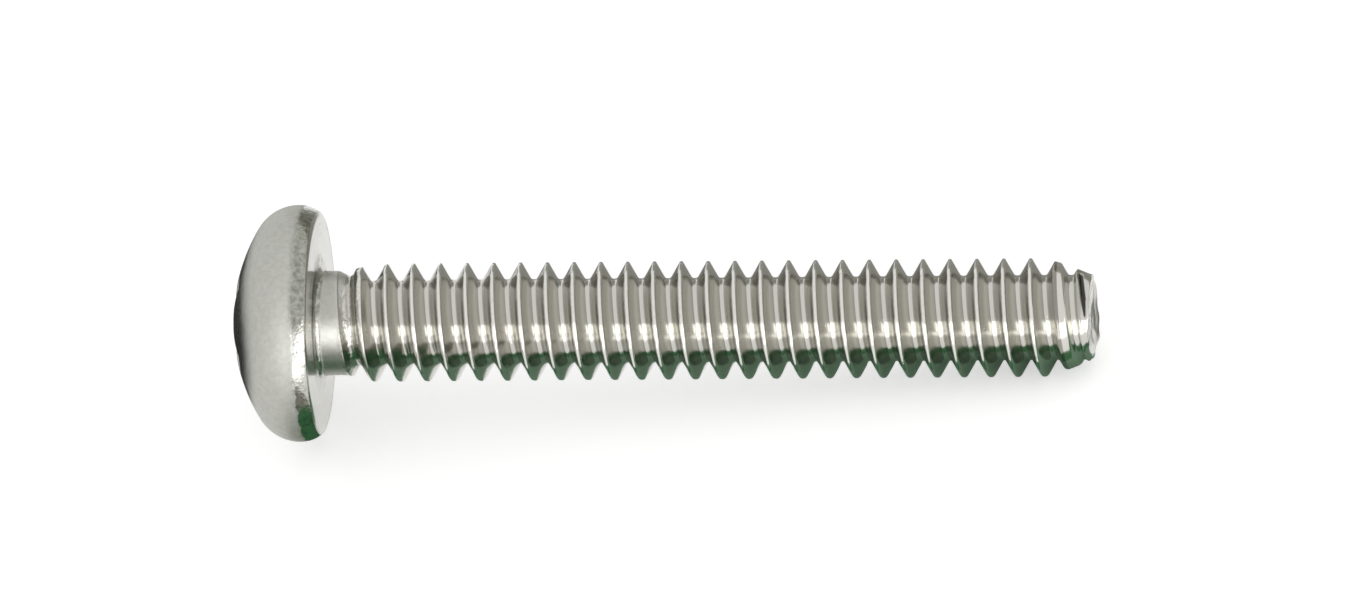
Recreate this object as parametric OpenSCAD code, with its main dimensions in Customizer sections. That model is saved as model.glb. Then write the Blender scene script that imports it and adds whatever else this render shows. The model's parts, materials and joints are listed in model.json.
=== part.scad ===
// Pan head machine screw with a right-hand rolled thread and a cross recess.
// The head is upset from the wire, the recess is punched into it and the thread is rolled,
// so the whole screw is one solid. Lengths are in millimetres and angles in degrees.
// Each shape is drawn with the bearing face at height 0, the head above it and the shank
// below, and the finished screw is then laid down with its head towards -X.

/* [Head] */
// Diameter over the rounded rim
head_d = 9.3; // [8:0.1:10.5]
// Height from the bearing face to the top of the crown
head_h = 3.4; // [3:0.05:4]
// Radius of the domed crown
crown_r = 7.3; // [6.2:0.1:9]
// Radius where the crown turns into the rim
edge_r = 1.75; // [1.2:0.05:2.1]
// Radius where the rim turns under to the bearing face
heel_r = 1.35; // [0.9:0.05:1.6]
// Radius of the fillet between the bearing face and the neck
fillet_r = 0.3; // [0.28:0.01:0.5]

/* [Cross recess] */
// Diameter over the ends of the four wings, where they meet the crown
recess_d = 4.8; // [4:0.1:5.4]
// Depth from the top of the crown to the lowest point
recess_depth = 2.9; // [2.2:0.05:3.1]
// Width of a wing at the height of the top of the crown
wing_w = 1; // [0.7:0.05:1.3]
// Draft of each side wall of a wing
wing_draft = 3; // [0:0.5:5]
// Angle between a wing's end wall and the axis
wing_slope = 26.5; // [20:0.5:30]
// Diameter of the round well where the wings meet
well_d = 2.2; // [1.8:0.1:2.8]
// Angle between the blunt bottom and the axis
bottom_slope = 70; // [60:1:80]
// Diameter of the small flat at the lowest point
bottom_flat_d = 0.4; // [0.2:0.1:0.8]

/* [Shank] */
// Length from the bearing face to the end
length = 30.45; // [12:0.05:50]
// Diameter of the plain neck under the head
neck_d = 4.1; // [3.8:0.05:4.4]
// Distance from the bearing face to where the thread groove starts to sink in
neck_len = 0.75; // [0.5:0.05:1.5]
// Length over which the groove sinks to its full depth
groove_run = 0.8; // [0.5:0.05:1.5]

/* [Thread] */
// Diameter over the crests
major_d = 4.65; // [4.5:0.01:4.8]
// Threads to the inch
threads_per_inch = 24; // [20:1:32]
// Depth of the groove, as a share of the pitch
depth_share = 0.638; // [0.6:0.002:0.66]
// Width of the flat on a crest, as a share of the pitch
crest_share = 0.09; // [0.06:0.01:0.12]
// Angle between a flank and a plane across the axis
flank_angle = 30; // [27:0.5:32]
// Distance from the bearing face to where the crests start to rise from the neck
crest_start = 1.05; // [0.8:0.05:2]
// Length over which the crests rise to their full height
crest_run = 1.05; // [0.5:0.05:2]
// Distance from the bearing face to the first crest, measured at the start angle
first_crest = 1.57; // [1:0.005:2]
// Angle about the axis at which the first crest is measured, from a wing of the recess
start_angle = 314; // [0:1:359]
// Flat facets in one turn
turn_facets = 24; // [24:4:40]

/* [Point] */
// Length of the slight taper that leads into the thread
lead_len = 0.95; // [0.6:0.05:1.6]
// Diameter where that taper turns into the chamfer
lead_d = 4.1; // [4:0.05:4.4]
// Length of the chamfer
chamfer_len = 0.95; // [0.5:0.05:1.5]
// Diameter of the flat end
end_d = 3.3; // [2.8:0.05:3.6]

/* [Rest] */
// Turn about the axis at which the screw lies, from the upper side to a wing of the recess
rest_turn = 82; // [0:1:89]

/* [Hidden] */
$fn = 96;

// Steps in which a rounded corner of the section is drawn
ARC_STEPS = 12;
// Distance by which an inner shape stays inside the skin of an outer one
CLEAR = 0.06;
// Distance by which a cutting or joining shape runs past the surface that it meets
PAST = 0.4;
INCH = 25.4;
STEEL = [0.74, 0.73, 0.71];

// The crown, the rim's edge and the rim's heel are arcs that share their tangents.
crown_z = head_h - crown_r;
edge_x = head_d / 2 - edge_r;
rim_z = crown_z + sqrt(pow(crown_r - edge_r, 2) - pow(edge_x, 2));
crown_turn = asin(edge_x / (crown_r - edge_r));
heel_x = head_d / 2 - heel_r;
heel_z = min(rim_z, heel_r);
heel_turn = asin(heel_z / heel_r);
neck_r = neck_d / 2;

// The wings' end walls lie on one cone, which the blunt bottom closes.
recess_z = crown_z + sqrt(pow(crown_r, 2) - pow(recess_d / 2, 2));
low_z = head_h - recess_depth;
wing_tan = tan(wing_slope);
bottom_tan = tan(bottom_slope);
flat_r = bottom_flat_d / 2;
bottom_z = (recess_d / 2 - flat_r - recess_z * wing_tan + low_z * bottom_tan) / (bottom_tan - wing_tan);

// The thread's section goes up from the groove over one crest.
pitch = INCH / threads_per_inch;
thread_depth = depth_share * pitch;
major_r = major_d / 2;
root_r = major_r - thread_depth;
half_crest = crest_share * pitch / 2;
half_ridge = half_crest + thread_depth * tan(flank_angle);
start_z = -first_crest - start_angle / 360 * pitch;

// The crests rise out of the neck, and at the point they run into the taper and the chamfer.
crest_slope = (major_r - neck_r) / crest_run;
groove_slope = (neck_r - root_r) / groove_run;
lead_slope = (major_r - lead_d / 2) / lead_len;
taper_start = length - chamfer_len - lead_len;

// The screw lies on the rim of its head and on a crest of its underside: the last one before
// the taper, or the next if that one reaches lower.
under_crest = first_crest + (start_angle + rest_turn - 180) / 360 * pitch;
last_crest = under_crest + floor((taper_start - under_crest) / pitch) * pitch;
next_crest = last_crest + pitch;
next_r = major_r - (next_crest - taper_start) * lead_slope;
rest_tilt = min(tilt_on(last_crest, major_r), tilt_on(next_crest, next_r));
bearing_height = heel_x * cos(rest_tilt) - heel_z * sin(rest_tilt) + heel_r;
back_x = (crown_r - head_h) * cos(rest_tilt) - crown_r;
front_x = length * cos(rest_tilt) + end_d / 2 * sin(rest_tilt);

// Points of an arc of radius r about [x, y], from angle a to angle b
function arc(x, y, r, a, b) = [
    for (i = [0:ARC_STEPS])
        let (t = a + (b - a) * i / ARC_STEPS)
            [x + r * cos(t), y + r * sin(t)]
];

// Dip of the axis when the screw lies on its rim and on a crest at this depth and radius
function tilt_on(depth, r) =
    let (run = depth + heel_z, rise = heel_x - r)
        atan2(rise, run) + asin(heel_r / norm([run, rise]));

// The head and the neck, with the slope on which the groove runs out
module head_and_neck() {
    run_out = (neck_r - root_r + CLEAR) / groove_slope;
    rotate_extrude()
        polygon(concat(
            arc(0, crown_z, crown_r, 90, 90 - crown_turn),
            arc(edge_x, rim_z, edge_r, 90 - crown_turn, 0),
            arc(heel_x, heel_z, heel_r, 0, -heel_turn),
            arc(neck_r + fillet_r, -fillet_r, fillet_r, 90, 180),
            [
                [neck_r, -neck_len],
                [root_r - CLEAR, -neck_len - run_out],
                [0, -neck_len - run_out],
            ]
        ));
}

// A bar with the thread along all of it, longer than the shank at both ends.
// Column i of its points stands at i facets round the axis and follows the helix up, and
// the end of a column is the start of the one a turn later.
module thread_bar() {
    section = [
        [root_r, -half_ridge],
        [major_r, -half_crest],
        [major_r, half_crest],
        [root_r, half_ridge],
    ];
    across = len(section);
    top_z = -neck_len + PAST;
    low_crest = start_z - ceil((start_z + length) / pitch + 0.5) * pitch;
    turns = ceil((top_z - low_crest) / pitch + 0.5);
    last = turns * turn_facets;
    function point(i, j) = j < across ? i * across + j : (i + turn_facets) * across;
    columns = [
        for (i = [0:last + turn_facets])
            let (t = 360 * i / turn_facets, z = low_crest + pitch * i / turn_facets)
                for (p = section)
                    [p[0] * cos(t), p[0] * sin(t), z + p[1]]
    ];
    low_hub = len(columns);
    high_hub = low_hub + 1;
    hubs = [[0, 0, low_crest], [0, 0, low_crest + turns * pitch]];
    skin = [
        for (i = [0:last - 1], j = [0:across - 1], half = [0, 1])
            half == 0
                ? [point(i, j), point(i, j + 1), point(i + 1, j + 1)]
                : [point(i, j), point(i + 1, j + 1), point(i + 1, j)]
    ];
    low_end = concat(
        [for (i = [0:turn_facets - 1]) [low_hub, point(i, 0), point(i + 1, 0)]],
        [for (j = [0:across - 1]) [low_hub, point(0, j + 1), point(0, j)]]
    );
    high_end = concat(
        [for (i = [last:last + turn_facets - 1]) [high_hub, point(i + 1, 0), point(i, 0)]],
        [for (j = [0:across - 1]) [high_hub, point(last, j), point(last, j + 1)]]
    );
    polyhedron(points = concat(columns, hubs), faces = concat(skin, low_end, high_end));
}

// The space that the threaded shank keeps to: a cone up from the neck, a clear length,
// the lead taper and the chamfer
module shank_outline() {
    rise_start = crest_start - CLEAR / crest_slope;
    rise_end = crest_start + (major_r - neck_r + CLEAR) / crest_slope;
    rotate_extrude()
        polygon([
            [0, -neck_len + PAST],
            [neck_r - CLEAR, -neck_len + PAST],
            [neck_r - CLEAR, -rise_start],
            [major_r + CLEAR, -rise_end],
            [major_r + CLEAR, -taper_start + CLEAR / lead_slope],
            [lead_d / 2, -length + chamfer_len],
            [end_d / 2, -length],
            [0, -length],
        ]);
}

// Four drafted wings and a round well, inside the cone of the wings' end walls
module cross_recess() {
    top_z = head_h + PAST;
    draft = 2 * tan(wing_draft);
    top_w = wing_w + draft * 2 * PAST;
    low_w = wing_w - draft * (recess_depth + PAST);
    intersection() {
        rotate_extrude()
            polygon([
                [0, low_z],
                [flat_r, low_z],
                [flat_r + (bottom_z - low_z) * bottom_tan, bottom_z],
                [recess_d / 2 + (top_z - recess_z) * wing_tan, top_z],
                [0, top_z],
            ]);
        union() {
            for (turn = [0, 90])
                rotate([90, 0, turn])
                    linear_extrude(height = head_d, center = true)
                        polygon([
                            [-low_w / 2, low_z - PAST],
                            [low_w / 2, low_z - PAST],
                            [top_w / 2, top_z + PAST],
                            [-top_w / 2, top_z + PAST],
                        ]);
            translate([0, 0, low_z - PAST])
                cylinder(h = recess_depth + 2 * PAST, d = well_d);
        }
    }
}

module screw() {
    color(STEEL)
        translate([-(back_x + front_x) / 2, 0, bearing_height])
            rotate([0, rest_tilt - 90, 0])
                rotate([0, 0, rest_turn])
                    difference() {
                        union() {
                            head_and_neck();
                            intersection() {
                                thread_bar();
                                shank_outline();
                            }
                        }
                        cross_recess();
                    }
}

screw();
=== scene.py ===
"""A pan head machine screw in bare stainless steel, lying on its side on a pale floor.

The screw is one surface. It is worked out in the screw's own frame, in millimetres: height 0 is the
bearing face under the head, the head is above it and the shank below, and angle 0 is the side that lies
uppermost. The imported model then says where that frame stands, and every point is carried there.
"""

import json
import math

import bpy
import numpy as np
from mathutils import Matrix, Vector


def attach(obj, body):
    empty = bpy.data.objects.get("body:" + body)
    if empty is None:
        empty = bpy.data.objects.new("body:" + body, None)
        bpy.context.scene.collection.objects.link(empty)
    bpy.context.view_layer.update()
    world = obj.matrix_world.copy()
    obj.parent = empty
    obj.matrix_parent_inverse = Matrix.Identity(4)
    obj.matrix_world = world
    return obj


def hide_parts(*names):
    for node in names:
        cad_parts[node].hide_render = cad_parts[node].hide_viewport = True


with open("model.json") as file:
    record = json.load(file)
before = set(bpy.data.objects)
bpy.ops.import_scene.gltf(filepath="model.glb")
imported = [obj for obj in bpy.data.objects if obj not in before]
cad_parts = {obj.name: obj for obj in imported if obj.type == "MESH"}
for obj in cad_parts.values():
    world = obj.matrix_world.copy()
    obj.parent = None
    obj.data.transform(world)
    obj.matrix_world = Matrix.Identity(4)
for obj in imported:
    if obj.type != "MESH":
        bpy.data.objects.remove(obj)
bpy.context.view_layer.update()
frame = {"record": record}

# Units
MM = 0.001
INCH = 25.4
TURN = 2 * math.pi

# Head, in millimetres
HEAD_R = 4.65
HEAD_H = 3.4
CROWN_R = 7.3
EDGE_R = 1.75
HEEL_R = 1.35
FILLET_R = 0.3
RIM_BREAK = 0.05
RIM_Z = 0.63

# Cross recess, in millimetres and degrees. The crown's even rings end at RINGS_R.
RECESS_R = 2.4
RECESS_DEPTH = 2.9
WING_W = 1.0
WING_DRAFT = math.radians(3)
WING_SLOPE = math.radians(26.5)
WELL_R = 1.1
BOTTOM_SLOPE = math.radians(70)
RECESS_TURN = math.radians(82)
LIP_R = 0.07
RINGS_R = RECESS_R + 0.55

# Shank and thread, in millimetres
LENGTH = 30.45
NECK_R = 2.05
NECK_LEN = 0.75
GROOVE_RUN = 0.8
MAJOR_R = 2.325
PITCH = INCH / 24
THREAD_DEPTH = 0.638 * PITCH
HALF_CREST = 0.08 * PITCH / 2
FLANK_TAN = math.tan(math.radians(30))
CREST_START = 1.05
CREST_RUN = 1.05
FIRST_CREST = 1.57
START_ANGLE = math.radians(36)
LEAD_LEN = 0.95
LEAD_R = 2.05
CHAMFER_LEN = 0.95
END_R = 1.65
END_DISH = 0.12
EDGE_BREAK = 0.05
NECK_END = 1.0

# Widths over which corners of the shank are rounded off, in millimetres
CREST_CORNER = 0.02
ROOT_CORNER = 0.1
RUN_CORNER = 0.05
TAPER_CORNER = 0.04
CHAMFER_CORNER = 0.06
CUT_CORNER = 0.025
FLOOR_CORNER = 0.04

# Limits of the rows of one turn of the thread, in millimetres
WIDEST_CREST = 0.36 * PITCH
WIDEST_RIDGE = 0.46 * PITCH
LEAST_FLANK = 0.04

# Small dents on the crests: how many, and the least and most size and depth, in millimetres
NICK_COUNT = 640
NICK_SIZE = (0.05, 0.15)
NICK_DEPTH = (0.005, 0.025)

# Marks that the rolling left at the point: a lap that runs down the chamfer and a burr on the end's rim
LAP_START = (math.radians(22), -30.02)
LAP_END = (math.radians(-52), -30.36)
LAP_WIDTH = 0.1
LAP_DEPTH = 0.14
LAP_FADE_IN = 0.12
LAP_FADE_OUT = 1.05
BURR_MIDDLE = math.radians(126)
BURR_SPREAD = math.radians(42)
BURR_HEIGHT = 0.08

# Unevenness of the end: its rim's radius and its face, in shares and millimetres
RIM_UNEVEN = 0.012
END_LIFT = 0.035
END_ROUGH = 0.012

# Painted shade by the burr on the end face near its rim and on the rim itself, as shares of the lap's full
# painted shade
END_PAINTED_SHADE = 0.42
RIM_PAINTED_SHADE = 0.5

# How far the rings under the head and the fillet reach into the satin finish
FILLET_REACH = -0.6
OUTWARD_FALL = 0.25
FILLET_RISE = 2.7

# The camera and the photo, in degrees and in pixels of the photo
CAMERA_RISE = math.radians(35)
SHANK_YAW = math.radians(7.2)
IMAGE_RISE = math.radians(0.46)
PHOTO_W = 1351
PHOTO_H = 600
PIXELS_PER_MM = 25.49
BEARING_PIXEL = (321, 323.2)
LENS = 600
SENSOR = 36

# Linear colours of the steel
GROOVE_STEEL = (0.54, 0.53, 0.49, 1)
PLAIN_STEEL = (0.6, 0.595, 0.555, 1)
RUBBED_STEEL = (0.7, 0.695, 0.66, 1)
# Painted light on flanks that face the point, and painted shade on flanks that face the head, darkest near
# the crest
POINT_FLANK_PAINTED_LIGHT = (0.635, 0.62, 0.57, 1)
HEAD_FLANK_PAINTED_SHADE = (0.43, 0.42, 0.38, 1)
UPPER_FLANK_PAINTED_SHADE = (0.27, 0.26, 0.23, 1)
SATIN_STEEL = (0.465, 0.465, 0.43, 1)
PALE_SATIN_STEEL = (0.535, 0.535, 0.5, 1)
# Dark and pale tones of the stained specks round the heel and of the painted dark reflection on its upper
# side
DARK_STAIN_AND_SHADE = (0.2, 0.2, 0.165, 1)
PALE_STAIN_AND_SHADE = (0.42, 0.43, 0.38, 1)
# Painted shade in the lap's furrow and by the burr on the end's rim
LAP_PAINTED_SHADE = (0.05, 0.05, 0.04, 1)

# Direction from the axis, in the screw's own frame, of the middle of the painted dark reflection on the upper
# heel and the fillet
PAINTED_SHADE_WAY = (math.cos(math.radians(-15)), math.sin(math.radians(-15)), 0)

# Roughness of the satin rim and crown, of the neck and of the bright steel
SATIN_ROUGH = 0.62
CROWN_ROUGH = 0.24
NECK_ROUGH = 0.42
BRIGHT_ROUGH = (0.12, 0.2)

# Depth in millimetres of the steel's fine relief where its height is 1
BUMP_DEPTH = 0.004

# Light, and the cards that the metal reflects, in millimetres
ROOM_LEVEL = 0.7
FLOOR_GLOW = 0.5
FLOOR_HALF = 1500
CARD_RISE = 0.03
FRONT_WATTS = 0.72
GREEN = (0.085, 0.25, 0.115)
PALE_GREEN = (0.27, 0.43, 0.31)
DARK = (0.03, 0.03, 0.025)
BROWN = (0.4, 0.39, 0.345)
WHITE = (0.8, 0.8, 0.8)
GREY = (0.42, 0.42, 0.38)
GLOW = 2.3

# Columns of points round the screw. There are a whole number of them in half a quadrant of the recess.
COLUMNS = 120
HALF_QUADRANT = COLUMNS // 8

rng = np.random.default_rng(24)


# Small helpers for curves


def blend(a, b, share):
    """The value that lies the given share of the way from a to b."""
    return a + (b - a) * share


def smooth_step(low, high, value):
    """0 below low, 1 above high, and 3 t squared less 2 t cubed between them."""
    t = np.clip((value - low) / (high - low), 0, 1)
    return t * t * (3 - 2 * t)


def soft_min(a, b, width):
    """The lesser of a and b, with the corner between them rounded off over the given width."""
    h = np.clip(0.5 + 0.5 * (b - a) / width, 0, 1)
    return blend(b, a, h) - width * h * (1 - h)


def soft_max(a, b, width):
    """The greater of a and b, with the corner between them rounded off over the given width."""
    return -soft_min(-a, -b, width)


def ripple(angle, along, waves, rounds, length):
    """An even, seamless unevenness between about -1 and 1: a sum of cosines of a whole number of rounds
    times the angle, plus a wave number times the place along the axis, each with its own phase. The most
    rounds and the shortest wavelength along the axis are given."""
    total = np.zeros(np.broadcast(angle, along).shape)
    for _ in range(waves):
        n = rng.integers(-rounds, rounds + 1)
        k = rng.uniform(-1, 1) * TURN / length
        total += np.cos(n * angle + k * along + rng.uniform(0, TURN))
    return total / math.sqrt(waves)


def swing_from(angle, middle):
    """The angle measured from a middle, between minus and plus half a turn."""
    return np.angle(np.exp(1j * (angle - middle)))


# Outline of the head


def head_centres():
    """Centres of the arcs of the rim. The crown's arc and the edge's arc share a tangent, so their centres
    lie a crown radius less an edge radius apart, and the heel's centre is level with the edge's."""
    crown_z = HEAD_H - CROWN_R
    edge_x = HEAD_R - EDGE_R
    rim_z = crown_z + math.sqrt((CROWN_R - EDGE_R) ** 2 - edge_x**2)
    return crown_z, edge_x, rim_z, HEAD_R - HEEL_R


def arc(x, z, radius, start, end, count):
    """So many points of a circle about (x, z), from one angle to another."""
    t = np.linspace(start, end, count)
    return np.stack([x + radius * np.cos(t), z + radius * np.sin(t)], axis=1)


def head_outline():
    """Radius and height of the head's rings, from the neck over the fillet, the flat bearing face, the heel
    and the edge, and up the crown as far as RINGS_R, where the recess's rings begin."""
    crown_z, edge_x, rim_z, heel_x = head_centres()
    heel_turn = math.asin(rim_z / HEEL_R)
    crown_turn = math.acos(edge_x / (CROWN_R - EDGE_R))
    bearing_r = heel_x + HEEL_R * math.cos(heel_turn)
    fillet = arc(NECK_R + FILLET_R, -FILLET_R, FILLET_R, math.pi, math.pi / 2, count=9)
    flat_r = np.linspace(NECK_R + FILLET_R, bearing_r - RIM_BREAK, 9)[1:]
    flat = np.stack([flat_r, np.zeros_like(flat_r)], axis=1)
    heel = arc(heel_x, rim_z, HEEL_R, RIM_BREAK / HEEL_R - heel_turn, 0, count=14)
    edge = arc(edge_x, rim_z, EDGE_R, 0, crown_turn, count=22)[1:]
    crown = arc(0, crown_z, CROWN_R, crown_turn, math.acos(RINGS_R / CROWN_R), count=16)[1:]
    return np.concatenate([fillet, flat, heel, edge, crown])


def finish_reach(r, z):
    """How far a ring of the head reaches into the satin finish. On the heel and the crown it is the height
    above the finish's border. Under the head it falls by OUTWARD_FALL in the first millimetre out from the
    fillet, and over the fillet it rises again to the satin neck."""
    if z > 0:
        return z - RIM_Z
    if z < 0:
        return FILLET_REACH - FILLET_RISE * z
    return FILLET_REACH - OUTWARD_FALL * min(r - NECK_R - FILLET_R, 1.0)


def crown_height(radius):
    """Height of the domed crown at a distance from the axis."""
    return HEAD_H - CROWN_R + np.sqrt(CROWN_R**2 - radius**2)


# Cross recess


def cross_ring(half_width, end_r, well_r):
    """Radius and angle, from a wing's middle, of the cross outline at one depth. From the middle of a wing
    to the middle of the next it runs round the wing's end at end_r, in along the side wall at half_width
    from the wing's middle line, and round the well at well_r. The rest is the same by symmetry."""
    end_share = np.array([0, 0.4, 0.75, 0.95, 1])
    side_share = np.array([0.04, 0.25, 0.5, 0.75, 0.96, 1])
    well_share = np.array([0.1, 0.35, 0.6, 0.8, 1])
    end_angle = end_share * math.asin(half_width / end_r)
    outer_x = math.sqrt(end_r**2 - half_width**2)
    inner_x = math.sqrt(well_r**2 - half_width**2)
    side_x = blend(outer_x, inner_x, side_share)
    well_angle = blend(math.asin(half_width / well_r), math.pi / 4, well_share)
    end_radius = np.full_like(end_share, end_r)
    well_radius = np.full_like(well_share, well_r)
    radius = np.concatenate([end_radius, np.hypot(side_x, half_width), well_radius])
    angle = np.concatenate([end_angle, np.arctan2(half_width, side_x), well_angle])
    step = np.arange(COLUMNS) % (2 * HALF_QUADRANT)
    back = step > HALF_QUADRANT
    near = np.where(back, 2 * HALF_QUADRANT - step, step)
    quadrant = np.arange(COLUMNS) // (2 * HALF_QUADRANT) * (math.pi / 2)
    turned = quadrant + np.where(back, math.pi / 2 - angle[near], angle[near])
    return radius[near], turned


def cross_sizes(height):
    """Half width of a wing and radius of its end at a height: the walls and the ends lean in with depth."""
    half_width = WING_W / 2 - (HEAD_H - height) * math.tan(WING_DRAFT)
    end_r = RECESS_R - (crown_height(RECESS_R) - height) * math.tan(WING_SLOPE)
    return half_width, end_r


def recess_rings():
    """Rings of points, as radius, angle and height, from the crown at RINGS_R in to the lowest point, and
    that point's height. The mouth lies on the crown, its lip is a quarter circle, the walls are straight
    lines down to the blunt bottom, and the bottom is a shallow cone."""
    wall_shares = (0.12, 0.3, 0.5, 0.7, 0.88, 0.97)
    bottom_shares = (1.0, 0.94, 0.7, 0.4, 0.15)
    low_z = HEAD_H - RECESS_DEPTH
    rise = 1 / math.tan(BOTTOM_SLOPE)
    lean = math.tan(WING_SLOPE)
    crown_mouth = crown_height(RECESS_R)
    level = (low_z + rise * (RECESS_R - crown_mouth * lean)) / (1 - rise * lean)
    half_width, end_r = cross_sizes(crown_mouth)
    mouth_r, mouth_angle = cross_ring(half_width + LIP_R, end_r + LIP_R, WELL_R + LIP_R)
    wall_r, wall_angle = cross_ring(half_width, end_r, WELL_R)
    foot_half, foot_end = cross_sizes(level)
    foot_r, foot_angle = cross_ring(foot_half, foot_end, WELL_R)
    even = np.arange(COLUMNS) * TURN / COLUMNS
    rings = []
    for share in np.linspace(0, 1, 12)[1:]:
        radius = blend(RINGS_R, mouth_r, share)
        rings.append((radius, blend(even, mouth_angle, share), crown_height(radius)))
    for turn in np.linspace(0, math.pi / 2, 5)[1:]:
        share = math.sin(turn)
        drop = LIP_R * (1 - math.cos(turn))
        lip_z = crown_height(mouth_r) - drop
        rings.append((blend(mouth_r, wall_r, share), blend(mouth_angle, wall_angle, share), lip_z))
    top_z = rings[-1][2]
    foot_z = low_z + rise * foot_r
    for share in wall_shares:
        radius = blend(wall_r, foot_r, share)
        rings.append((radius, blend(wall_angle, foot_angle, share), blend(top_z, foot_z, share)))
    for share in bottom_shares:
        rings.append((foot_r * share, foot_angle, low_z + rise * foot_r * share))
    return rings, low_z


# Thread


def crest_limit(height):
    """Radius that the crests keep to at a height. It rises from the neck to the full radius over CREST_RUN,
    and near the point it falls along the lead taper and then the chamfer."""
    depth = -height
    rise = NECK_R + (MAJOR_R - NECK_R) * (depth - CREST_START) / CREST_RUN
    lead = LEAD_R + (MAJOR_R - LEAD_R) * (LENGTH - CHAMFER_LEN - depth) / LEAD_LEN
    chamfer = END_R + (LEAD_R - END_R) * (LENGTH - depth) / CHAMFER_LEN
    start = soft_min(np.maximum(rise, NECK_R), MAJOR_R, RUN_CORNER)
    return soft_min(soft_min(start, lead, TAPER_CORNER), chamfer, CHAMFER_CORNER)


def groove_floor(height):
    """Least radius of the groove at a height: the neck, then a slope down to the root over GROOVE_RUN."""
    slope = NECK_R - (-height - NECK_LEN) * (NECK_R - MAJOR_R + THREAD_DEPTH) / GROOVE_RUN
    return soft_max(np.minimum(slope, NECK_R), MAJOR_R - THREAD_DEPTH, RUN_CORNER)


def thread_radius(offset):
    """Radius of the full thread at a distance along the axis from the middle of a crest: a narrow flat, a
    straight flank at 30 degrees from square, and a rounded groove."""
    flank = soft_max(np.abs(offset) - HALF_CREST, 0.0, CREST_CORNER) / FLANK_TAN
    return MAJOR_R - soft_min(flank, THREAD_DEPTH, ROOT_CORNER)


def thread_offsets(height):
    """Distances along the axis from the middle of a crest to each row of one turn, going down. Rows gather
    at the corners of the crest and of the groove, wherever the crest limit and the groove's floor put
    them."""
    limit = crest_limit(height)
    floor = groove_floor(height)
    crest = HALF_CREST + np.maximum(MAJOR_R - limit, 0) * FLANK_TAN
    crest = np.minimum(crest, WIDEST_CREST)
    root = HALF_CREST + (MAJOR_R - floor) * FLANK_TAN
    root = np.clip(root, crest + LEAST_FLANK, WIDEST_RIDGE)
    on_crest = [crest * share for share in (0.55, 0.9)]
    on_flank = [blend(crest, root, share) for share in (0.03, 0.2, 0.45, 0.7, 0.92)]
    on_root = [blend(root, PITCH / 2, share) for share in (0.12, 0.5)]
    down = on_crest + on_flank + on_root
    up = [PITCH - distance for distance in reversed(down)]
    return [np.zeros_like(crest), *down, np.full_like(crest, PITCH / 2), *up]


def thread_grid(top_z, low_z):
    """Heights of the threaded shank's points between two heights, their distances down from the last crest
    above, and the number of rows in a turn.

    Row j of column i lies at start + pitch times i over the number of columns, less the row's distance down
    from the first crest, so each row climbs the helix, and the last column meets the first one turn on. A
    row's radius is the full thread's, but no more than the crest limit and no less than the groove's floor.
    Points past either end height are all one point of that end's ring."""
    start = -FIRST_CREST - (START_ANGLE - RECESS_TURN) / TURN * PITCH
    start += math.ceil((top_z - start) / PITCH) * PITCH
    turns = math.ceil((start - low_z) / PITCH) + 1
    column = np.arange(COLUMNS + 1)[:, None]
    crest_z = start + PITCH * column / COLUMNS - PITCH * np.arange(turns)[None, :]
    rows = thread_offsets(crest_z)
    offset = np.stack(rows, axis=2)
    height = (crest_z[:, :, None] - offset).reshape(COLUMNS + 1, -1)
    return height, offset.reshape(COLUMNS + 1, -1), len(rows)


def nicks(turned, height):
    """Depth in millimetres of small dents on the thread's crests: a sum of round bell curves, each at its
    own angle and height and with its own size and depth."""
    depth = np.zeros(height.shape)
    for _ in range(NICK_COUNT):
        place = rng.uniform(-LENGTH, -NECK_LEN)
        side = rng.uniform(0, TURN)
        size = rng.uniform(*NICK_SIZE)
        near = np.abs(height - place) < 3 * size
        swing = MAJOR_R * swing_from(turned[near], side)
        bell = np.exp(-((height[near] - place) ** 2 + swing**2) / size**2)
        depth[near] += rng.uniform(*NICK_DEPTH) * bell
    return depth


def lap(turned, height):
    """Depth of the lap on the chamfer: a narrow bell-shaped furrow along the straight line, in angle and
    height, from LAP_START to LAP_END. It fades in over the first eighth of its way and runs out into the
    end face."""
    way = (LAP_END[0] - LAP_START[0], LAP_END[1] - LAP_START[1])
    share = swing_from(turned, LAP_START[0]) / way[0]
    off = height - LAP_START[1] - way[1] * share
    there = smooth_step(0.0, LAP_FADE_IN, share) * smooth_step(LAP_FADE_OUT, 1.0, share)
    return LAP_DEPTH * there * np.exp(-((off / LAP_WIDTH) ** 2))


def burr_share(turned):
    """Height of the burr on the end's rim, as a share of the most: a flat-topped bell curve of the angle
    about its middle."""
    return np.exp(-((swing_from(turned, BURR_MIDDLE) / BURR_SPREAD) ** 4))


# The whole screw as one grid from pole to pole


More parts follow.
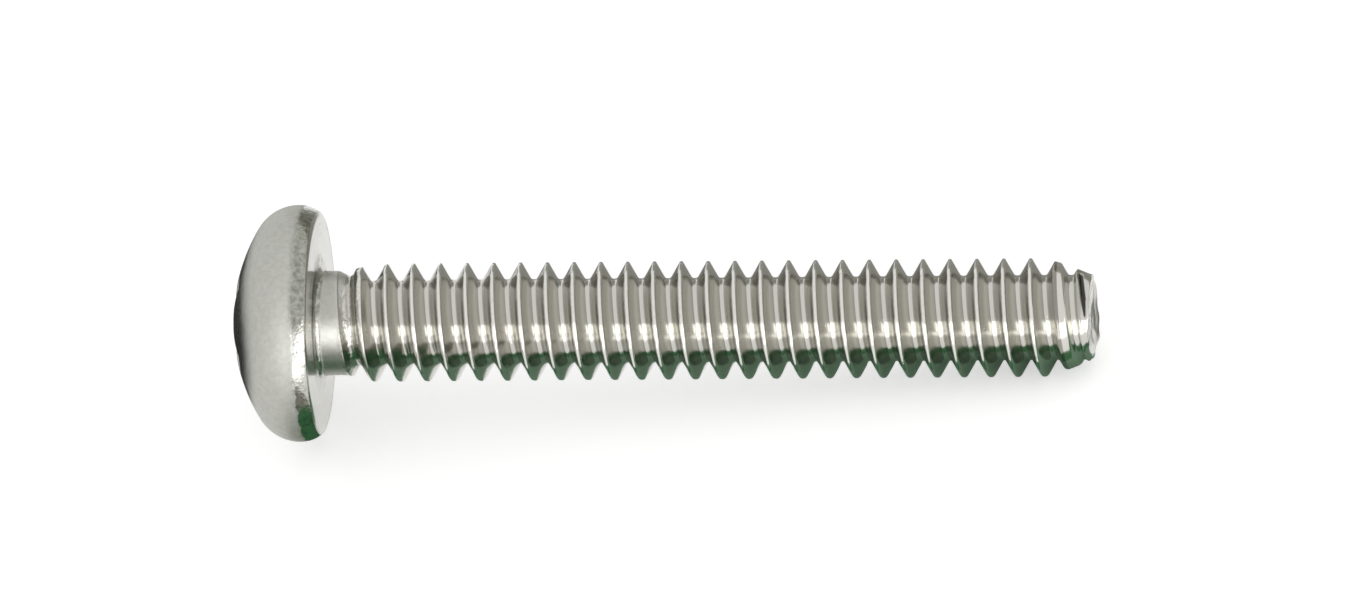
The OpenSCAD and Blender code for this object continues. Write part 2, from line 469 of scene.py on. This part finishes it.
def screw_points():
    """Points of the screw in its own frame, four marks of each, and an index grid. The marks are the share
    of the thread's height, how far the point reaches into the satin finish, 1 on flanks that face the point
    and -1 on those that face the head, which set the flanks' painted light and shade, and the share of the
    lap's depth, which sets the painted shade in the lap and also on the end's rim where the burr stands.

    The grid's rows run from the pole of the end face, over the end, up the thread, over the head and down
    the recess to its lowest point. Its columns run round the screw, and the last one repeats the first. A
    pole fills its whole row, and what an end ring takes in of the thread repeats that ring's points."""
    even = RECESS_TURN + np.arange(COLUMNS) * TURN / COLUMNS
    above_thread = 0.05
    top_z = above_thread - NECK_LEN
    low_z = EDGE_BREAK - LENGTH

    height, offset, per_turn = thread_grid(top_z, low_z)
    from_crest = np.minimum(offset, PITCH - offset)
    columns = np.arange(COLUMNS + 1)[:, None]
    turned = np.broadcast_to(RECESS_TURN + columns * TURN / COLUMNS, height.shape)
    full = thread_radius(from_crest)
    cut = soft_min(full, crest_limit(height), CUT_CORNER)
    radius = soft_max(cut, groove_floor(height), FLOOR_CORNER)
    radius = np.where(height > -NECK_LEN, NECK_R, radius)
    share = smooth_step(0.0, 1.0, (radius - MAJOR_R + THREAD_DEPTH) / THREAD_DEPTH)
    on_flank = smooth_step(0.05, 0.12, share) * smooth_step(0.98, 0.9, share)
    facing = on_flank * np.where(offset < PITCH / 2, 1, -1)
    furrow = lap(turned, height)
    radius = radius - nicks(turned, height) * share - furrow

    points = []
    shares = []
    reaches = []
    facings = []
    burr_and_lap_shades = []
    rows = []
    count = 0

    def add_ring(ring_radius, ring_angle, ring_z, reach=-1.0, dark=0.0):
        """Adds one ring of points to the model and its row to the grid."""
        nonlocal count
        x = ring_radius * np.cos(ring_angle)
        y = ring_radius * np.sin(ring_angle)
        points.append(np.stack(np.broadcast_arrays(x, y, ring_z), axis=1))
        shares.append(np.zeros(COLUMNS))
        reaches.append(np.full(COLUMNS, reach))
        facings.append(np.zeros(COLUMNS))
        burr_and_lap_shades.append(np.full(COLUMNS, dark))
        rows.append(count + np.append(np.arange(COLUMNS), 0))
        count += COLUMNS

    def add_pole(z):
        """Adds one point on the axis, which fills its whole row."""
        nonlocal count
        points.append(np.array([[0.0, 0.0, z]]))
        shares.append(np.zeros(1))
        reaches.append(np.full(1, -1.0))
        facings.append(np.zeros(1))
        burr_and_lap_shades.append(np.zeros(1))
        rows.append(np.full(COLUMNS + 1, count))
        count += 1

    rim = END_R * (1 + RIM_UNEVEN * ripple(even, 0, 9, 9, 1))
    lift = END_LIFT * ripple(even, 0, 11, 14, 1)
    burr = burr_share(even)
    add_pole(-LENGTH + END_DISH)
    for step in (0.1, 0.25, 0.4, 0.55, 0.7, 0.8, 0.88, 0.94):
        rough = END_ROUGH * ripple(even, step, 9, 9, 0.5)
        end_z = END_DISH * (1 - step**4) - LENGTH + rough + lift * step**3
        # Painted shade of the burr on the end face near the rim
        dark = END_PAINTED_SHADE * burr * smooth_step(0.78, 0.96, step)
        add_ring(rim * step, even, end_z, dark=dark)
    edge = -LENGTH + lift - BURR_HEIGHT * burr
    for turn in np.linspace(0, math.pi / 2, 4)[:-1]:
        out = EDGE_BREAK * (math.sin(turn) - 1)
        # Painted shade on the rim where the burr stands
        add_ring(rim + out, even, edge + EDGE_BREAK * (1 - math.cos(turn)), dark=RIM_PAINTED_SHADE * burr)
    low_row = len(rows)
    add_ring(rim, even, low_z + lift)

    first = count
    for column in range(COLUMNS):
        x = radius[column] * np.cos(turned[column])
        y = radius[column] * np.sin(turned[column])
        points.append(np.stack([x, y, height[column]], axis=1))
        shares.append(share[column])
        reaches.append(np.clip(height[column] + NECK_END, -1, 1))
        facings.append(facing[column])
        # Painted shade in the lap, as deep as its furrow
        burr_and_lap_shades.append(furrow[column] / LAP_DEPTH)
    length = height.shape[1]
    number = first + np.arange(COLUMNS)[:, None] * length + np.arange(length)
    wrapped = first + np.arange(length) - per_turn
    number = np.concatenate([number, wrapped[None, :]])
    count = first + COLUMNS * length
    add_ring(NECK_R, even, top_z, top_z + NECK_END)
    top = rows.pop()

    # Points of the thread past an end ring, or within its margin, become that ring's points.
    top_margin = 0.01
    low_margin = 0.06
    number = np.where(height > top_z - top_margin, top[:, None], number)
    number = np.where(height < low_z + low_margin, rows[low_row][:, None], number)
    rows.extend(number.T[::-1])
    rows.append(top)

    for r, z in head_outline():
        add_ring(r, even, z, finish_reach(r, z))
    rings, lowest = recess_rings()
    for r, turn, z in rings:
        add_ring(r, RECESS_TURN + turn, z, np.maximum(z - RIM_Z, 1.0))
    add_pole(lowest)
    marks = [np.concatenate(mark) for mark in (shares, reaches, facings, burr_and_lap_shades)]
    return np.concatenate(points), marks, np.array(rows)


def grid_faces(rows):
    """Faces of a grid of point numbers, whose rows run up and whose columns run round. A face that names a
    point twice in a row loses one of the two, and a face that is left with fewer than three is dropped."""
    corners = np.stack([rows[:-1, :-1], rows[:-1, 1:], rows[1:, 1:], rows[1:, :-1]], axis=-1)
    corners = corners.reshape(-1, 4)
    keep = corners != np.roll(corners, 1, axis=1)
    count = keep.sum(axis=1)
    whole = corners[count == 4]
    three = corners[count == 3]
    return whole, three[keep[count == 3]].reshape(-1, 3)


def bearing_face(record):
    """Centre of the bearing face and direction of the shank, from the mount of that name."""
    mount = next(m for m in record["mounts"] if m["name"] == "bearing_face")
    return mount["pos_m"], mount["axis"]


def placed(points, record):
    """Carries points from the screw's own frame, in millimetres, to the model's frame, in metres. The
    bearing face's mount gives the origin and the direction of the shank, and the third axis stays level."""
    origin, axis = bearing_face(record)
    up = -np.array(axis)
    up /= np.linalg.norm(up)
    level = np.array([0.0, 1.0, 0.0])
    upper = np.cross(level, up)
    return np.array(origin) + MM * (points @ np.array([upper, level, up]))


def make_screw(record):
    """The screw as one closed mesh, with its own-frame places and its marks as point attributes."""
    points, marks, rows = screw_points()
    used, rows = np.unique(rows, return_inverse=True)
    rows = rows.reshape(-1, COLUMNS + 1)
    points = points[used]
    whole, three = grid_faces(rows)
    mesh = bpy.data.meshes.new("machine_screw")
    mesh.vertices.add(len(points))
    mesh.vertices.foreach_set("co", placed(points, record).ravel())
    mesh.loops.add(whole.size + three.size)
    mesh.loops.foreach_set("vertex_index", np.concatenate([whole.ravel(), three.ravel()]))
    mesh.polygons.add(len(whole) + len(three))
    starts = np.concatenate([np.arange(len(whole)) * 4, whole.size + np.arange(len(three)) * 3])
    mesh.polygons.foreach_set("loop_start", starts)
    mesh.polygons.foreach_set("use_smooth", np.ones(len(starts), bool))
    own = mesh.attributes.new("own_place", "FLOAT_VECTOR", "POINT")
    own.data.foreach_set("vector", points.ravel())
    for name, mark in zip(("thread_height", "crown_reach", "flank_facing", "lap_and_burr_shade"), marks):
        mesh.attributes.new(name, "FLOAT", "POINT").data.foreach_set("value", mark[used])
    mesh.update(calc_edges=True)
    mesh.validate()
    screw = bpy.data.objects.new("machine_screw", mesh)
    bpy.context.scene.collection.objects.link(screw)
    return screw


# Materials


def new_group(name, inputs, outputs):
    """An empty shader node group with named sockets: inputs as (type, name, value) and outputs as (type,
    name)."""
    group = bpy.data.node_groups.new(name, "ShaderNodeTree")
    for kind, label, value in inputs:
        socket = group.interface.new_socket(label, in_out="INPUT", socket_type="NodeSocket" + kind)
        if value is not None:
            socket.default_value = value
    for kind, label in outputs:
        group.interface.new_socket(label, in_out="OUTPUT", socket_type="NodeSocket" + kind)
    start = group.nodes.new("NodeGroupInput")
    end = group.nodes.new("NodeGroupOutput")
    return group, start, end


def add(tree, kind, links=None, **settings):
    """A new node with its settings and its inputs: a socket is linked and anything else is set as a value."""
    node = tree.nodes.new(kind)
    for name, value in settings.items():
        setattr(node, name, value)
    for name, value in (links or {}).items():
        if isinstance(value, bpy.types.NodeSocket):
            tree.links.new(value, node.inputs[name])
        else:
            node.inputs[name].default_value = value
    return node


def math_node(tree, operation, first, second):
    """One step of arithmetic on two sockets or numbers."""
    return add(tree, "ShaderNodeMath", {0: first, 1: second}, operation=operation).outputs[0]


def product(tree, first, *others):
    """The product of two or more sockets or numbers."""
    for other in others:
        first = math_node(tree, "MULTIPLY", first, other)
    return first


def ramp(tree, value, low, high, to_low=0.0, to_high=1.0):
    """A smooth step from to_low to to_high as a value goes from low to high."""
    links = {"Value": value, "From Min": low, "From Max": high, "To Min": to_low, "To Max": to_high}
    return add(tree, "ShaderNodeMapRange", links, interpolation_type="SMOOTHSTEP").outputs["Result"]


def mix_colour(tree, factor, first, second):
    """The first colour where the factor is 0, the second where it is 1, and a mixture between."""
    links = {"Factor": factor, "A": first, "B": second}
    return add(tree, "ShaderNodeMix", links, data_type="RGBA").outputs[2]


def mix_value(tree, factor, first, second):
    """The first value where the factor is 0, the second where it is 1, and a mixture between."""
    links = {"Factor": factor, "A": first, "B": second}
    return add(tree, "ShaderNodeMix", links).outputs["Result"]


def noise(tree, place, scale, detail=2.0, rough=0.5, w=None):
    """Fractal noise between 0 and 1 at a place, in waves to the millimetre, with a fourth axis if w is
    given."""
    links = {"Vector": place, "Scale": scale, "Detail": detail, "Roughness": rough}
    if w is None:
        return add(tree, "ShaderNodeTexNoise", links).outputs["Fac"]
    links["W"] = w
    return add(tree, "ShaderNodeTexNoise", links, noise_dimensions="4D").outputs["Fac"]


def drawn_streaks_group():
    """Fine streaks round the screw's axis. The noise is read at the radius and the height, each times its
    own rate, and at the direction from the axis as a point of a circle, so it closes on itself round the
    screw."""
    inputs = [
        ("Vector", "Place", None),
        ("Float", "Rate Across", 20.0),
        ("Float", "Rate Along", 1.0),
        ("Float", "Rate Round", 2.0),
    ]
    group, start, end = new_group("drawn_streaks", inputs, [("Float", "Streak")])
    parts = add(group, "ShaderNodeSeparateXYZ", {"Vector": start.outputs["Place"]})
    flat = add(group, "ShaderNodeCombineXYZ", {"X": parts.outputs["X"], "Y": parts.outputs["Y"]})
    radius = add(group, "ShaderNodeVectorMath", {0: flat.outputs[0]}, operation="LENGTH").outputs["Value"]
    way = add(group, "ShaderNodeVectorMath", {0: flat.outputs[0]}, operation="NORMALIZE").outputs["Vector"]
    turned = add(group, "ShaderNodeSeparateXYZ", {"Vector": way})
    round_x = math_node(group, "MULTIPLY", turned.outputs["X"], start.outputs["Rate Round"])
    round_y = math_node(group, "MULTIPLY", turned.outputs["Y"], start.outputs["Rate Round"])
    across = math_node(group, "MULTIPLY", radius, start.outputs["Rate Across"])
    along = math_node(group, "MULTIPLY", parts.outputs["Z"], start.outputs["Rate Along"])
    spot = add(group, "ShaderNodeCombineXYZ", {"X": across, "Y": along, "Z": round_x})
    streak = noise(group, spot.outputs[0], scale=1.0, detail=3.0, rough=0.55, w=round_y)
    group.links.new(streak, end.inputs["Streak"])
    return group


def pits_group():
    """Tiny pits: a round spot at some of the points of a random scatter, those where a coarse noise is
    high."""
    inputs = [
        ("Vector", "Place", None),
        ("Float", "Pits Per Millimetre", 3.0),
        ("Float", "Radius", 0.2),
        ("Float", "Share Kept", 0.5),
    ]
    group, start, end = new_group("pits", inputs, [("Float", "Pit")])
    links = {"Vector": start.outputs["Place"], "Scale": start.outputs["Pits Per Millimetre"]}
    scatter = add(group, "ShaderNodeTexVoronoi", links)
    least_size = 0.02
    size = math_node(group, "MULTIPLY", scatter.outputs["Color"], start.outputs["Radius"])
    size = math_node(group, "ADD", size, least_size)
    spot = math_node(group, "DIVIDE", scatter.outputs["Distance"], size)
    depth = ramp(group, spot, 0.3, 1.0, 1.0, 0.0)
    coarse = noise(group, start.outputs["Place"], scale=1.1)
    limit = math_node(group, "SUBTRACT", 1.0, start.outputs["Share Kept"])
    kept = math_node(group, "GREATER_THAN", coarse, limit)
    group.links.new(math_node(group, "MULTIPLY", depth, kept), end.inputs["Pit"])
    return group


def heel_band(tree, reach):
    """Where the heel lies, up to the satin crown, and the fillet with the inner edge of the flat."""
    return product(tree, ramp(tree, reach, -0.76, -0.64), ramp(tree, reach, -0.05, 0.15, 1.0, 0.0))


def stain_and_shade_mask(tree, place, reach, height, ragged, across):
    """Where the steel is darkened: a ragged patch of painted dark reflection on the upper heel, another on
    the fillet below it, and stained specks all round the heel and the fillet. Given are the place and its
    height, its reach into the satin finish, a coarse noise, and that reach with the noise added."""
    side = add(tree, "ShaderNodeVectorMath", {0: place, 1: PAINTED_SHADE_WAY}, operation="DOT_PRODUCT")
    towards = math_node(tree, "ADD", side.outputs["Value"], product(tree, ragged, 1.6))
    # Painted dark reflection on the upper side of the heel
    heel = product(
        tree,
        ramp(tree, towards, 4.0, 4.5),
        ramp(tree, reach, -0.63, -0.55),
        ramp(tree, across, -0.2, 0.12, 1.0, 0.0),
    )
    # Painted dark reflection on the upper side of the fillet
    fillet = product(
        tree,
        ramp(tree, towards, 2.4, 2.9),
        ramp(tree, height, -0.3, -0.2),
        ramp(tree, height, 0.01, 0.03, 1.0, 0.0),
        ramp(tree, reach, -0.72, -0.64),
    )
    # Stained specks all round the heel and the fillet
    specks = ramp(tree, noise(tree, place, scale=3.0, detail=5.0, rough=0.7), 0.5, 0.62, 0.0, 0.7)
    specks = product(tree, heel_band(tree, reach), specks)
    return math_node(tree, "MAXIMUM", math_node(tree, "MAXIMUM", heel, fillet), specks)


def thread_colour(tree, crest, facing, clouds, grain):
    """Colour of the bright steel: soft clouds, painted light on flanks that face the point, painted shade on
    those that face the head and most so near the crest, and the palest where the crests are rubbed."""
    tone = mix_colour(tree, clouds, GROOVE_STEEL, PLAIN_STEEL)
    # Painted light on flanks that face the point, painted shade on flanks that face the head
    tone = mix_colour(tree, ramp(tree, facing, 0.1, 0.9), tone, POINT_FLANK_PAINTED_LIGHT)
    head_side_shade = mix_colour(tree, ramp(tree, crest, 0.35, 0.85), HEAD_FLANK_PAINTED_SHADE, UPPER_FLANK_PAINTED_SHADE)
    tone = mix_colour(tree, ramp(tree, facing, -0.9, -0.1, 1.0, 0.0), tone, head_side_shade)
    worn = ramp(tree, math_node(tree, "ADD", crest, product(tree, grain, 0.3)), 1.04, 1.16)
    return mix_colour(tree, worn, tone, RUBBED_STEEL)


def stainless_steel():
    """Bare stainless steel: a satin crown and neck, a brighter rim and thread, and fine streaks round the
    axis and tiny pits all over. The heel and the fillet have stained specks and scuffs all round and a
    painted dark reflection on their upper side. Flanks that face the point have painted light and those that
    face the head have painted shade, the rubbed crests have their own tone, and the lap and the end's rim by
    the burr have painted shade."""
    material = bpy.data.materials.new("stainless_steel")
    material.use_nodes = True
    tree = material.node_tree
    shader = tree.nodes["Principled BSDF"]
    shader.inputs["Metallic"].default_value = 1
    place = add(tree, "ShaderNodeAttribute", attribute_name="own_place").outputs["Vector"]
    crest = add(tree, "ShaderNodeAttribute", attribute_name="thread_height").outputs["Fac"]
    reach = add(tree, "ShaderNodeAttribute", attribute_name="crown_reach").outputs["Fac"]
    facing = add(tree, "ShaderNodeAttribute", attribute_name="flank_facing").outputs["Fac"]
    painted_lap_shade = add(tree, "ShaderNodeAttribute", attribute_name="lap_and_burr_shade").outputs["Fac"]
    height = add(tree, "ShaderNodeSeparateXYZ", {"Vector": place}).outputs["Z"]

    streaks = add(tree, "ShaderNodeGroup", {}, node_tree=drawn_streaks_group())
    tree.links.new(place, streaks.inputs["Place"])
    streaks.inputs["Rate Across"].default_value = 22
    streaks.inputs["Rate Along"].default_value = 0.8
    streaks.inputs["Rate Round"].default_value = 1.6
    pits = add(tree, "ShaderNodeGroup", {}, node_tree=pits_group())
    tree.links.new(place, pits.inputs["Place"])
    pits.inputs["Pits Per Millimetre"].default_value = 3.2
    pits.inputs["Radius"].default_value = 0.3
    pits.inputs["Share Kept"].default_value = 0.5

    ragged = noise(tree, place, scale=2.2, detail=4.0, rough=0.65)
    clouds = noise(tree, place, scale=0.9, detail=5.0, rough=0.6)
    grain = noise(tree, place, scale=9.0, detail=3.0, rough=0.6)
    wander = product(tree, math_node(tree, "SUBTRACT", ragged, 0.5), 0.35)
    across = math_node(tree, "ADD", reach, wander)
    crown = ramp(tree, across, -0.13, -0.05)

    mottle = ramp(tree, noise(tree, place, scale=4.5, detail=5.0, rough=0.75), 0.3, 0.7)
    matt = mix_colour(tree, mottle, SATIN_STEEL, PALE_SATIN_STEEL)
    shown = mix_colour(tree, crown, thread_colour(tree, crest, facing, clouds, grain), matt)
    blotch = ramp(tree, noise(tree, place, scale=4.0, detail=5.0, rough=0.7), 0.3, 0.7)
    # Stained specks, and the painted dark reflection on the upper heel and fillet
    stain_and_shade_tone = mix_colour(tree, blotch, DARK_STAIN_AND_SHADE, PALE_STAIN_AND_SHADE)
    stain_and_shade = stain_and_shade_mask(tree, place, reach, height, ragged, across)
    shown = mix_colour(tree, stain_and_shade, shown, stain_and_shade_tone)
    # Painted shade in the lap and on the end's rim by the burr
    shown = mix_colour(tree, ramp(tree, painted_lap_shade, 0.25, 0.6), shown, LAP_PAINTED_SHADE)
    tree.links.new(shown, shader.inputs["Base Color"])

    inner = math_node(tree, "ADD", reach, product(tree, clouds, 0.4))
    satin = ramp(tree, inner, 1.6, 2.5, SATIN_ROUGH, CROWN_ROUGH)
    satin = mix_value(tree, ramp(tree, height, -0.3, -0.2, 1.0, 0.0), satin, NECK_ROUGH)
    bright = ramp(tree, streaks.outputs["Streak"], 0.3, 0.7, *BRIGHT_ROUGH)
    tree.links.new(mix_value(tree, crown, bright, satin), shader.inputs["Roughness"])

    scuffs = noise(tree, place, scale=4.5, detail=3.0, rough=0.6)
    scuffs = product(tree, scuffs, heel_band(tree, reach), 6.0)
    fine = product(tree, grain, crown, 1.5)
    lines = product(tree, streaks.outputs["Streak"], 0.5)
    relief = math_node(tree, "ADD", math_node(tree, "ADD", fine, scuffs), lines)
    relief = math_node(tree, "SUBTRACT", relief, pits.outputs["Pit"])
    bump = add(tree, "ShaderNodeBump", {"Strength": 1.0, "Distance": BUMP_DEPTH * MM, "Height": relief})
    tree.links.new(bump.outputs["Normal"], shader.inputs["Normal"])
    return material


def seen_directly(tree, otherwise, value):
    """A value for rays from the camera and for reflected and refracted rays, and another for the rest."""
    path = tree.nodes.new("ShaderNodeLightPath")
    either = math_node(tree, "MAXIMUM", path.outputs["Is Camera Ray"], path.outputs["Is Glossy Ray"])
    either = math_node(tree, "MAXIMUM", either, path.outputs["Is Transmission Ray"])
    links = {"Value": either, "To Min": otherwise, "To Max": value}
    return add(tree, "ShaderNodeMapRange", links).outputs["Result"]


def white_floor():
    """A white floor that shows white to the camera and in the metal, and still takes a shadow."""
    material = bpy.data.materials.new("white_floor")
    material.use_nodes = True
    tree = material.node_tree
    shader = tree.nodes["Principled BSDF"]
    shader.inputs["Base Color"].default_value = (*WHITE, 1)
    shader.inputs["Roughness"].default_value = 0.9
    shader.inputs["Specular IOR Level"].default_value = 0
    shader.inputs["Emission Color"].default_value = (1, 1, 1, 1)
    tree.links.new(seen_directly(tree, 0.0, FLOOR_GLOW), shader.inputs["Emission Strength"])
    return material


def card_paper(name, colour, glow):
    """A matt colour that may also glow white."""
    material = bpy.data.materials.new(name)
    material.use_nodes = True
    shader = material.node_tree.nodes["Principled BSDF"]
    shader.inputs["Base Color"].default_value = (*colour, 1)
    shader.inputs["Roughness"].default_value = 1
    shader.inputs["Specular IOR Level"].default_value = 0
    shader.inputs["Emission Color"].default_value = (1, 1, 1, 1)
    shader.inputs["Emission Strength"].default_value = glow
    return material


# Floor, lights and camera


def add_flat_object(name, corners, material):
    """A flat object with these corners, in millimetres."""
    mesh = bpy.data.meshes.new(name)
    mesh.from_pydata([(x * MM, y * MM, z * MM) for x, y, z in corners], [], [range(len(corners))])
    mesh.materials.append(material)
    flat = bpy.data.objects.new(name, mesh)
    bpy.context.scene.collection.objects.link(flat)
    return flat


def add_floor():
    """A large level floor at height 0."""
    half = FLOOR_HALF
    corners = [(-half, -half, 0), (half, -half, 0), (half, half, 0), (-half, half, 0)]
    floor = add_flat_object("floor", corners, white_floor())
    return floor


def light_world():
    """An even pale room, pure white where the camera or the metal sees it."""
    world = bpy.data.worlds.new("room")
    bpy.context.scene.world = world
    world.use_nodes = True
    tree = world.node_tree
    background = tree.nodes["Background"]
    background.inputs["Color"].default_value = (1, 1, 1, 1)
    tree.links.new(seen_directly(tree, ROOM_LEVEL, 1.0), background.inputs["Strength"])


def add_card(name, corners, colour, glow=0.0):
    """A flat card with these corners, in millimetres, that only the metal reflects. It may glow white."""
    card = add_flat_object(name, corners, card_paper(name, colour, glow))
    card.visible_camera = False
    card.visible_diffuse = False
    card.visible_shadow = False
    card.visible_transmission = False
    return card


def add_level_card(name, corners, colour, glow=0.0, rise=CARD_RISE):
    """A card that lies just over the floor, with these corners seen from above."""
    return add_card(name, [(x, y, rise) for x, y in corners], colour, glow)


def add_standing_card(name, start, end, height, colour, glow=0.0):
    """A card that stands on the floor along the line from start to end."""
    corners = [(*start, 0), (*end, 0), (*end, height), (*start, height)]
    return add_card(name, corners, colour, glow)


def rectangle(left, right, front, back):
    """Corners of a rectangle between these sides."""
    return [(left, front), (right, front), (right, back), (left, back)]


def add_soft_light(name, place, target, size, watts):
    """A rectangular lamp at a place in metres, turned to a target, that the camera doesn't see."""
    lamp = bpy.data.lights.new(name, "AREA")
    lamp.shape = "RECTANGLE"
    lamp.size = size[0]
    lamp.size_y = size[1]
    lamp.energy = watts
    light = bpy.data.objects.new(name, lamp)
    bpy.context.scene.collection.objects.link(light)
    light.location = place
    away = Vector(place) - Vector(target)
    light.rotation_euler = away.to_track_quat("Z", "Y").to_euler()
    light.visible_camera = False
    return light


def add_camera(record):
    """A long lens at the photo's angle. The shank points a little towards the camera and rises a little to
    the right, and the middle of the bearing face lies at its pixel of the photo."""
    place, axis = bearing_face(record)
    origin = Vector(place)
    down = Vector(axis).normalized()
    tilt = math.asin(-down.z)
    rise_sin = math.sin(CAMERA_RISE)
    rise_cos = math.cos(CAMERA_RISE)
    swing = (math.sin(SHANK_YAW) + rise_sin * math.sin(tilt)) / (rise_cos * math.cos(tilt))
    azimuth = math.asin(swing)
    back = Vector((math.sin(azimuth) * rise_cos, -math.cos(azimuth) * rise_cos, rise_sin))
    along = (down - down.dot(back) * back).normalized()
    right = math.cos(IMAGE_RISE) * along - math.sin(IMAGE_RISE) * back.cross(along)
    up = back.cross(right)
    pixel = MM / PIXELS_PER_MM
    middle = origin + right * (PHOTO_W / 2 - BEARING_PIXEL[0]) * pixel
    middle += up * (BEARING_PIXEL[1] - PHOTO_H / 2) * pixel
    data = bpy.data.cameras.new("camera")
    data.lens = LENS
    data.sensor_width = SENSOR
    distance = LENS / SENSOR * PHOTO_W * pixel
    camera = bpy.data.objects.new("camera", data)
    bpy.context.scene.collection.objects.link(camera)
    turn = Matrix((right, up, back)).transposed().to_4x4()
    camera.matrix_world = Matrix.Translation(middle + back * distance) @ turn
    bpy.context.scene.camera = camera
    return camera


bpy.context.scene.view_settings.view_transform = "Standard"
add_camera(frame["record"])
light_world()
add_floor()
add_soft_light("front_light", (-0.02, -0.5, 0.1), (0, 0, 0.01), (0.3, 0.28), FRONT_WATTS)
add_level_card("glow_card", rectangle(-10, 60, -220, -14), WHITE, GLOW)
add_standing_card("side_glow_card", (100, -200), (190, -80), 60, WHITE, GLOW)

# The green card runs along the shank and ends in a wider part by the head.
by_head = [(-14.8, -6.2), (-12.5, -6.8), (-11.2, -5.2), (-10.8, -3.6)]
by_point = [(45, -3.6), (45, -2.2)]
under_head = [(-12.8, -2.2), (-12.8, -1.6), (-14.6, -1.6)]
add_level_card("green_card", by_head + by_point + under_head, GREEN)
add_level_card("pale_green_card", rectangle(-12.8, 45, -2.2, 0.6), PALE_GREEN)
add_level_card("left_card", rectangle(-42, -16.9, 0, 34), DARK)
add_level_card("brown_card", rectangle(-15.6, -10.6, -12, -3), BROWN, rise=CARD_RISE / 2)
add_level_card("behind_card", rectangle(-11, 80, 6, 90), GREY)
add_standing_card("back_card", (-30, 150), (500, 150), 90, GREY)

screw = make_screw(frame["record"])
screw.data.materials.append(stainless_steel())
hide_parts("screw")
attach(screw, "root")
